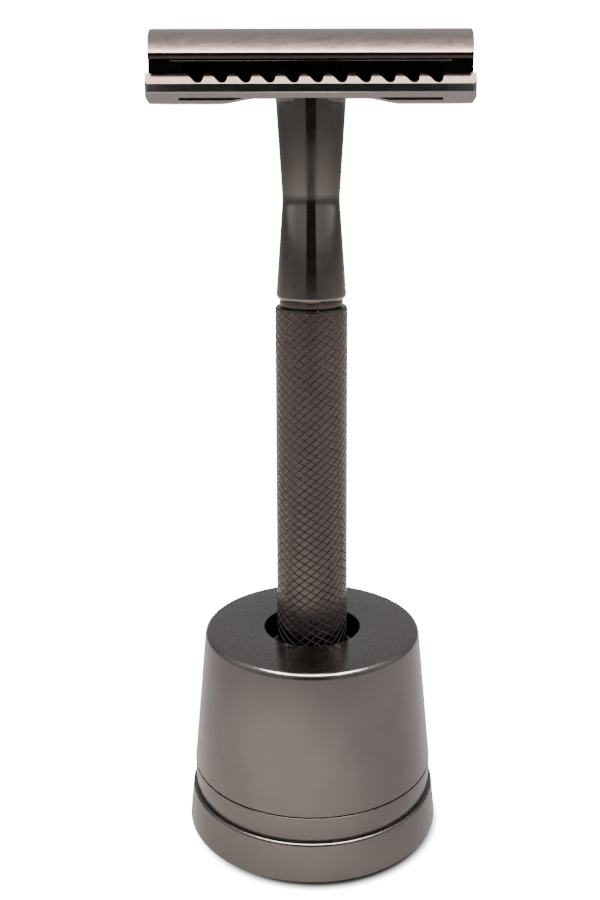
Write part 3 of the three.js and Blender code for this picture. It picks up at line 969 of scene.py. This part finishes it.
def paint_kept_nodes(mats):
    """Materials for the CAD nodes that are shown as they are."""
    kept = {
        "ballast": "iron",
        "neck_insert": "brass",
        "joining_stud": "turned",
        "base_screw_1": "turned",
        "base_screw_2": "turned",
        "base_screw_3": "turned",
    }
    for node, material in kept.items():
        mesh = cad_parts[node].data
        mesh.materials.clear()
        mesh.materials.append(mats[material])


# ---------- surroundings ----------
def show_to_camera(tree, lighting, shown, output):
    """Lets one shader light the object and shows the other to the camera."""
    path = tree.nodes.new("ShaderNodeLightPath")
    mix = tree.nodes.new("ShaderNodeMixShader")
    tree.links.new(path.outputs["Is Camera Ray"], mix.inputs["Fac"])
    tree.links.new(lighting.outputs[0], mix.inputs[1])
    tree.links.new(shown.outputs[0], mix.inputs[2])
    tree.links.new(mix.outputs[0], tree.nodes[output].inputs["Surface"])


def add_world():
    """White to the camera. For the object: a lit wall behind, dim sides and a dark room in front."""
    world = bpy.data.worlds.new("studio")
    bpy.context.scene.world = world
    world.use_nodes = True
    tree = world.node_tree
    coords = tree.nodes.new("ShaderNodeTexCoord")
    split = tree.nodes.new("ShaderNodeSeparateXYZ")
    tree.links.new(coords.outputs["Generated"], split.inputs[0])
    back = tree.nodes.new("ShaderNodeMapRange")
    back.inputs["From Min"].default_value = -1
    tree.links.new(split.outputs["Y"], back.inputs["Value"])
    ramp = tree.nodes.new("ShaderNodeValToRGB")
    stops = ramp.color_ramp.elements
    # 0 is in front of the object, 1 is behind it
    glows = ((0.2, FRONT_GLOW), (0.5, SIDE_GLOW), (0.75, BACK_GLOW), (1, BACK_GLOW))
    for stop, (place, tone) in zip((stops[0], stops.new(0.5), stops.new(0.75), stops[-1]), glows):
        stop.position = place
        stop.color = (tone, tone, tone, 1)
    tree.links.new(back.outputs["Result"], ramp.inputs["Fac"])
    room = tree.nodes["Background"]
    tree.links.new(ramp.outputs["Color"], room.inputs["Color"])
    pale = tree.nodes.new("ShaderNodeBackground")
    pale.inputs["Color"].default_value = (1, 1, 1, 1)
    pale.inputs["Strength"].default_value = WHITE
    show_to_camera(tree, room, pale, "World Output")


def floor_fade(tree, coords, centre, reach, kind):
    """0 near a spot on the floor, 1 far from it."""
    distance = tree.nodes.new("ShaderNodeVectorMath")
    distance.operation = "DISTANCE"
    distance.inputs[1].default_value = (centre[0] * MM, centre[1] * MM, 0)
    tree.links.new(coords.outputs["Object"], distance.inputs[0])
    fade = tree.nodes.new("ShaderNodeMapRange")
    fade.interpolation_type = kind
    fade.inputs["From Min"].default_value = reach[0] * MM
    fade.inputs["From Max"].default_value = reach[1] * MM
    tree.links.new(distance.outputs["Value"], fade.inputs["Value"])
    return fade.outputs["Result"]


def add_floor():
    """Pale floor, burnt out to the camera except for a painted shadow round the foot ring."""
    bm = bmesh.new()
    bmesh.ops.create_circle(bm, cap_ends=True, segments=96, radius=FLOOR_R * MM)
    floor = new_object("floor", bm)
    floor.location.z = -FLOOR_DROP * MM
    material = bpy.data.materials.new("pale_floor")
    material.use_nodes = True
    tree = material.node_tree
    shader = tree.nodes["Principled BSDF"]
    shader.inputs["Roughness"].default_value = 0.9
    shader.inputs["Specular IOR Level"].default_value = 0.1
    coords = tree.nodes.new("ShaderNodeTexCoord")
    # painted pool of light: the floor's colour is brightest in front of the stand and a little to its left
    tone = tree.nodes.new("ShaderNodeMix")
    tone.data_type = "RGBA"
    tone.inputs["A"].default_value = (*FLOOR_BRIGHT, 1)
    tone.inputs["B"].default_value = (*FLOOR_DIM, 1)
    dimming = floor_fade(tree, coords, BRIGHT_CENTRE, BRIGHT_REACH, "SMOOTHSTEP")
    tree.links.new(dimming, tone.inputs["Factor"])
    outer = tree.nodes.new("ShaderNodeMix")
    outer.data_type = "RGBA"
    outer.inputs["B"].default_value = (*FLOOR_FAR, 1)
    tree.links.new(tone.outputs["Result"], outer.inputs["A"])
    rising = floor_fade(tree, coords, BRIGHT_CENTRE, FAR_REACH, "SMOOTHSTEP")
    tree.links.new(rising, outer.inputs["Factor"])
    tree.links.new(outer.outputs["Result"], shader.inputs["Base Color"])
    # painted contact shadow: the glow dies away towards the foot ring
    power = tree.nodes.new("ShaderNodeMath")
    power.operation = "POWER"
    power.inputs[1].default_value = SHADOW_POWER
    away = floor_fade(tree, coords, SHADOW_CENTRE, SHADOW_REACH, "LINEAR")
    tree.links.new(away, power.inputs[0])
    strength = tree.nodes.new("ShaderNodeMath")
    strength.operation = "MULTIPLY_ADD"
    strength.inputs[1].default_value = WHITE
    strength.inputs[2].default_value = SHADOW_GLOW
    tree.links.new(power.outputs[0], strength.inputs[0])
    glow = tree.nodes.new("ShaderNodeEmission")
    glow.inputs["Color"].default_value = (1, 1, 1, 1)
    tree.links.new(strength.outputs[0], glow.inputs["Strength"])
    show_to_camera(tree, shader, glow, "Material Output")
    floor.data.materials.append(material)


def add_dark_card():
    """A black card behind the camera, which the object reflects and the camera doesn't see."""
    card = box("dark_card", -CARD_HALF_WIDTH, CARD_HALF_WIDTH, *CARD_Y, *CARD_Z)
    black = bpy.data.materials.new("black_card")
    black.use_nodes = True
    shader = black.node_tree.nodes["Principled BSDF"]
    shader.inputs["Base Color"].default_value = (CARD_TONE, CARD_TONE, CARD_TONE, 1)
    shader.inputs["Roughness"].default_value = 1
    card.data.materials.append(black)
    card.visible_camera = False


def add_overhead_light():
    light = bpy.data.lights.new("overhead", "AREA")
    light.shape = "RECTANGLE"
    light.size, light.size_y = LIGHT_SIZE
    light.energy = LIGHT_POWER
    light.color = LIGHT_COLOUR
    holder = bpy.data.objects.new("overhead", light)
    bpy.context.scene.collection.objects.link(holder)
    holder.location = LIGHT_PLACE


add_camera()
materials = make_materials()
build_stand(materials)
build_handle(materials)
build_head(materials)
paint_kept_nodes(materials)
add_world()
add_floor()
add_dark_card()
add_overhead_light()
